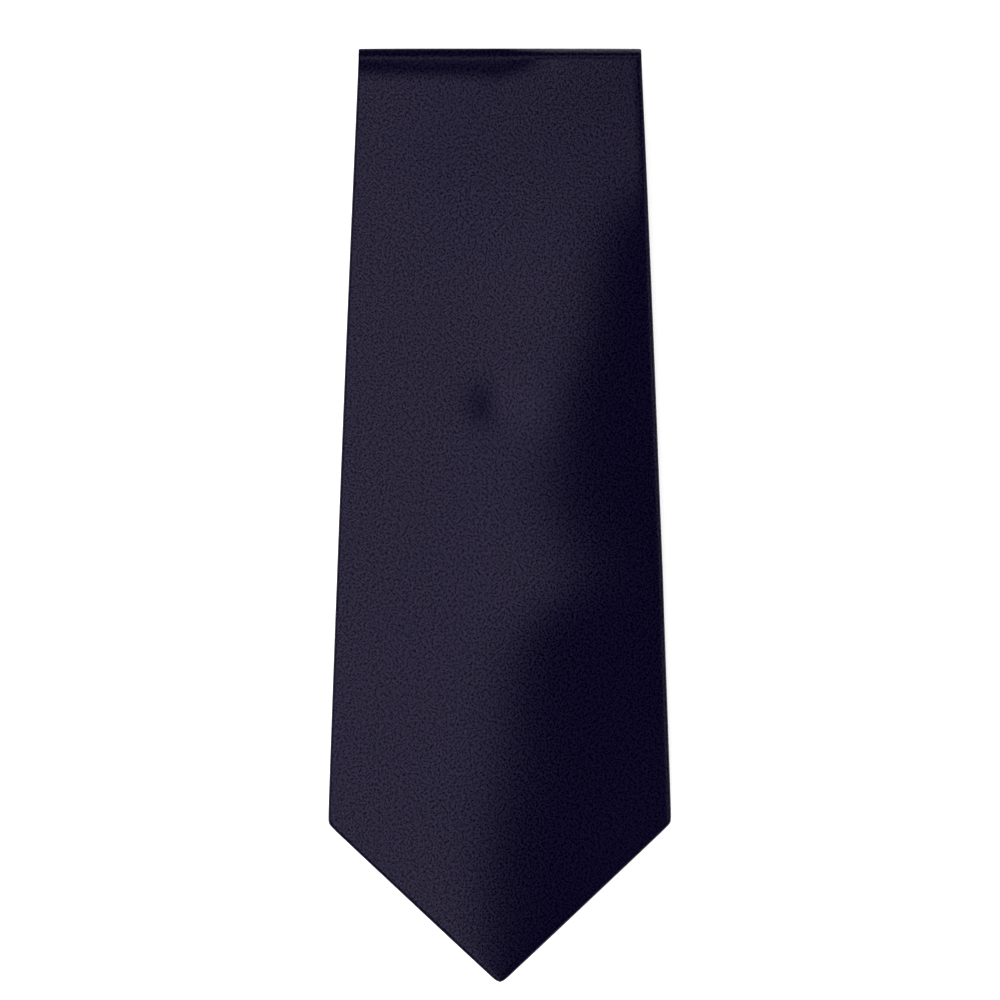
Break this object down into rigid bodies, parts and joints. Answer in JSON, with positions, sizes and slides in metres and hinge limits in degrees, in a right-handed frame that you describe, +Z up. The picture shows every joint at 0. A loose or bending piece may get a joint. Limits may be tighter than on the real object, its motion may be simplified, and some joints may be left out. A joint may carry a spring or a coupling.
{
  "type": "necktie",
  "caption": "Satin necktie folded flat back and forth, with the wide pointed blade on top, an inner padding, a lined point, a keeper loop and a slip-stitched back seam.",
  "frame": {"origin": "under the middle of the folded tie, on the surface that it rests on", "axes": "+Y along the tie, from the wide blade's point to its straight fold; +Z up, out of the wide blade's satin front; +X across, to the right as the blade is seen with its point down"},
  "size_m": [0.095, 0.2594, 0.0202],
  "materials": {
    "satin": "satin",
    "interlining": "matte",
    "lining": "satin",
    "thread": "satin",
    "woven_label": "satin",
    "care_label": "satin"
  },
  "bodies": {
    "blade": {"blade_bar_tack": "thread", "blade_hem_stitches": "thread", "blade_interlining": "interlining", "blade_lining": "lining", "blade_satin": "satin", "blade_slip_stitches": "thread", "care_label": "care_label", "keeper_loop": "satin", "keeper_loop_tacks": "thread", "woven_label": "woven_label", "woven_label_stitches": "thread"},
    "second_leaf": {"fold_1_interlining": "interlining", "fold_1_satin": "satin", "second_leaf_interlining": "interlining", "second_leaf_satin": "satin", "second_leaf_slip_stitches": "thread"},
    "third_leaf": {"fold_2_interlining": "interlining", "fold_2_satin": "satin", "third_leaf_interlining": "interlining", "third_leaf_satin": "satin", "third_leaf_slip_stitches": "thread"},
    "fourth_leaf": {"fold_3_interlining": "interlining", "fold_3_satin": "satin", "fourth_leaf_interlining": "interlining", "fourth_leaf_neck_satin": "satin", "fourth_leaf_neck_seam_stitches": "thread", "fourth_leaf_satin": "satin", "fourth_leaf_slip_stitches": "thread"},
    "fifth_leaf": {"fifth_leaf_interlining": "interlining", "fifth_leaf_satin": "satin", "fifth_leaf_slip_stitches": "thread", "fifth_leaf_tail_panel_satin": "satin", "fifth_leaf_tail_panel_seam_stitches": "thread", "fold_4_interlining": "interlining", "fold_4_satin": "satin"},
    "tail": {"fold_5_interlining": "interlining", "fold_5_satin": "satin", "tail_bar_tack": "thread", "tail_hem_stitches": "thread", "tail_interlining": "interlining", "tail_lining": "lining", "tail_satin": "satin", "tail_slip_stitches": "thread"}
  },
  "joints": [
    {"name": "fold_5", "type": "hinge", "parent": "tail", "child": "fifth_leaf", "pos_m": [0, 0.12672, 0.00295], "axis": [-1, 0, 0], "range_deg": [0, 179.9], "deforming": ["fold_5_satin", "fold_5_interlining"]},
    {"name": "fold_4", "type": "hinge", "parent": "fifth_leaf", "child": "fourth_leaf", "pos_m": [0, -0.10922, 0.00625], "axis": [1, 0, 0], "range_deg": [0, 179.9], "deforming": ["fold_4_satin", "fold_4_interlining"]},
    {"name": "fold_3", "type": "hinge", "parent": "fourth_leaf", "child": "third_leaf", "pos_m": [0, 0.12672, 0.00955], "axis": [-1, 0, 0], "range_deg": [0, 179.9], "deforming": ["fold_3_satin", "fold_3_interlining"]},
    {"name": "fold_2", "type": "hinge", "parent": "third_leaf", "child": "second_leaf", "pos_m": [0, -0.09772, 0.01285], "axis": [1, 0, 0], "range_deg": [0, 179.9], "deforming": ["fold_2_satin", "fold_2_interlining"]},
    {"name": "fold_1", "type": "hinge", "parent": "second_leaf", "child": "blade", "pos_m": [0, 0.12806, 0.0167], "axis": [-1, 0, 0], "range_deg": [0, 179.9], "deforming": ["fold_1_satin", "fold_1_interlining"]}
  ],
  "couplings": [
    {"joint": "fold_4", "follows": "fold_5", "ratio": 1},
    {"joint": "fold_3", "follows": "fold_5", "ratio": 1},
    {"joint": "fold_2", "follows": "fold_5", "ratio": 1}
  ]
}
